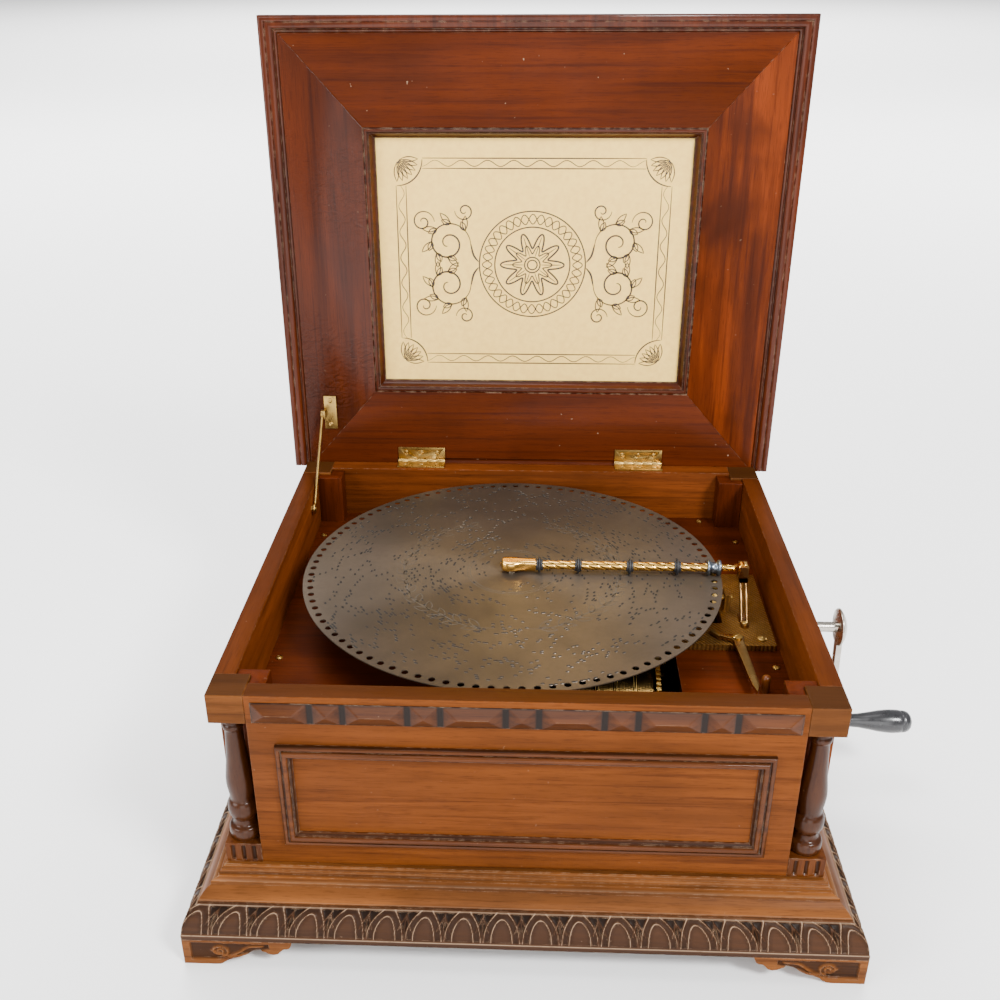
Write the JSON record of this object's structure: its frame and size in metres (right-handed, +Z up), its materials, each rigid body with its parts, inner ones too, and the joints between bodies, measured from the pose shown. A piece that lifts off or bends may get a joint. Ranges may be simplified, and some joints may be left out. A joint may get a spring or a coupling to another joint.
{
  "type": "disc music box",
  "caption": "Table disc music box with open lid, perforated steel disc on a spindle, comb, hold-down arm, spring motor and side crank in a moulded wooden case.",
  "frame": {"origin": "on the floor, at the middle of the overall width and depth", "axes": "+X to the side with the crank, +Y to the back where the lid is hinged, +Z up"},
  "size_m": [0.6704, 0.521, 0.7095],
  "materials": {
    "walnut": "satin varnish",
    "dark_walnut": "dark varnish",
    "picture_board": "painted cream board",
    "disc_steel": "worn zinc grey",
    "polished_steel": "polished",
    "brass": "aged",
    "bronze_paint": "bronze paint on cast iron",
    "black_iron": "blued",
    "nickel": "worn nickel",
    "black_rubber": "matte",
    "ebony": "black lacquer"
  },
  "bodies": {
    "case": {"bottom_board": "dark_walnut", "base_moulding_front": "walnut", "base_moulding_back": "walnut", "base_moulding_sides": "walnut", "bracket_feet": "walnut", "front_panel": "walnut", "back_panel": "walnut", "left_panel": "walnut", "right_panel": "walnut", "corner_posts": "walnut", "column_plinths_and_caps": "walnut", "turned_columns": "dark_walnut", "front_frame_moulding": "dark_walnut", "carved_rail": "dark_walnut", "deck_board": "walnut", "hinge_leaves_rim": "brass", "hinge_pins": "polished_steel", "stay_pin": "brass", "bedplate": "bronze_paint", "star_wheel_rod": "polished_steel", "comb": "polished_steel", "centre_spindle": "polished_steel", "arm_bracket": "polished_steel", "stop_peg": "walnut", "motor_plates": "brass", "crank_bush": "brass", "case_screws": "brass"},
    "lid": {"lid_board_back": "walnut", "lid_board_right": "walnut", "lid_board_front": "walnut", "lid_board_left": "walnut", "lid_edge_left": "walnut", "lid_edge_right": "walnut", "lid_edge_front": "walnut", "picture_bead": "dark_walnut", "picture_panel": "picture_board", "lid_top_panel": "walnut", "hinge_leaves_lid": "brass", "stay_plate": "brass", "lid_screws": "brass"},
    "stay": {"lid_stay": "brass"},
    "disc": {"music_disc": "disc_steel"},
    "arm": {"hold_down_arm": "brass"},
    "roller_1": {"arm_roller_1": "black_rubber"},
    "roller_2": {"arm_roller_2": "black_rubber"},
    "roller_3": {"arm_roller_3": "black_rubber"},
    "roller_4": {"arm_roller_4": "black_rubber"},
    "collar": {"arm_collar": "nickel"},
    "stars": {"star_wheels": "polished_steel"},
    "barrel": {"spring_barrel": "brass", "mainspring": "black_iron"},
    "arbor": {"barrel_arbor": "polished_steel"},
    "idler": {"winding_idler": "black_iron"},
    "crank": {"crank_shaft": "nickel", "crank_arm": "nickel"},
    "grip": {"crank_grip": "ebony"},
    "layshaft": {"layshaft": "brass"},
    "sprocket": {"drive_sprocket": "brass"},
    "governor": {"governor_fly": "brass"},
    "lever": {"start_lever": "brass"}
  },
  "joints": [
    {"name": "lid_hinge", "type": "hinge", "parent": "case", "child": "lid", "pos_m": [-0.05015, 0.225, 0.2525], "axis": [-1, 0, 0], "range_deg": [-90, 0]},
    {"name": "stay_swing", "type": "hinge", "parent": "lid", "child": "stay", "pos_m": [-0.27825, 0.22, 0.3095], "axis": [1, 0, 0], "range_deg": [-117.4, 0]},
    {"name": "disc_spin", "type": "hinge", "parent": "case", "child": "disc", "pos_m": [-0.06485, 0.003, 0.237], "axis": [0, 0, 1], "continuous": true},
    {"name": "arm_lift", "type": "hinge", "parent": "case", "child": "arm", "pos_m": [0.15285, 0.003, 0.2457], "axis": [0, 1, 0], "range_deg": [0, 85]},
    {"name": "roller_1_spin", "type": "hinge", "parent": "arm", "child": "roller_1", "pos_m": [-0.03865, 0.003, 0.2457], "axis": [1, 0, 0], "continuous": true},
    {"name": "roller_2_spin", "type": "hinge", "parent": "arm", "child": "roller_2", "pos_m": [-0.00215, 0.003, 0.2457], "axis": [1, 0, 0], "continuous": true},
    {"name": "roller_3_spin", "type": "hinge", "parent": "arm", "child": "roller_3", "pos_m": [0.04635, 0.003, 0.2457], "axis": [1, 0, 0], "continuous": true},
    {"name": "roller_4_spin", "type": "hinge", "parent": "arm", "child": "roller_4", "pos_m": [0.09085, 0.003, 0.2457], "axis": [1, 0, 0], "continuous": true},
    {"name": "collar_spin", "type": "hinge", "parent": "arm", "child": "collar", "pos_m": [0.125, 0.003, 0.2457], "axis": [1, 0, 0], "continuous": true},
    {"name": "stars_spin", "type": "hinge", "parent": "case", "child": "stars", "pos_m": [0.02985, 0.003, 0.231], "axis": [1, 0, 0], "continuous": true},
    {"name": "sprocket_spin", "type": "hinge", "parent": "case", "child": "sprocket", "pos_m": [0.125, 0.003, 0.21377], "axis": [1, 0, 0], "continuous": true},
    {"name": "layshaft_spin", "type": "hinge", "parent": "case", "child": "layshaft", "pos_m": [0.04985, -0.00254, 0.148], "axis": [1, 0, 0], "continuous": true},
    {"name": "barrel_spin", "type": "hinge", "parent": "case", "child": "barrel", "pos_m": [0.03185, -0.062, 0.14], "axis": [1, 0, 0], "continuous": true},
    {"name": "governor_spin", "type": "hinge", "parent": "case", "child": "governor", "pos_m": [0.08085, 0.02126, 0.148], "axis": [0, 0, 1], "continuous": true},
    {"name": "crank_turn", "type": "hinge", "parent": "case", "child": "crank", "pos_m": [0.19985, 0.012, 0.177], "axis": [1, 0, 0], "continuous": true},
    {"name": "idler_spin", "type": "hinge", "parent": "case", "child": "idler", "pos_m": [0.15785, -0.00931, 0.1518], "axis": [1, 0, 0], "continuous": true},
    {"name": "arbor_spin", "type": "hinge", "parent": "case", "child": "arbor", "pos_m": [0.15785, -0.062, 0.14], "axis": [1, 0, 0], "continuous": true},
    {"name": "grip_spin", "type": "hinge", "parent": "crank", "child": "grip", "pos_m": [0.28985, 0, 0.075], "axis": [1, 0, 0], "continuous": true},
    {"name": "lever_swing", "type": "hinge", "parent": "case", "child": "lever", "pos_m": [0.14185, -0.057, 0.205], "axis": [0, 0, 1], "range_deg": [-18, 2]}
  ],
  "couplings": [
    {"joint": "stay_swing", "follows": "lid_hinge", "ratio": 1.3044},
    {"joint": "roller_1_spin", "follows": "disc_spin", "ratio": 3.4933},
    {"joint": "roller_2_spin", "follows": "disc_spin", "ratio": 8.36},
    {"joint": "roller_3_spin", "follows": "disc_spin", "ratio": 14.827},
    {"joint": "roller_4_spin", "follows": "disc_spin", "ratio": 20.76},
    {"joint": "collar_spin", "follows": "disc_spin", "ratio": 25.313},
    {"joint": "sprocket_spin", "follows": "disc_spin", "ratio": -8},
    {"joint": "layshaft_spin", "follows": "disc_spin", "ratio": 3},
    {"joint": "barrel_spin", "follows": "disc_spin", "ratio": -1},
    {"joint": "governor_spin", "follows": "disc_spin", "ratio": 24},
    {"joint": "idler_spin", "follows": "crank_turn", "ratio": -0.83333},
    {"joint": "arbor_spin", "follows": "crank_turn", "ratio": 0.41667}
  ]
}
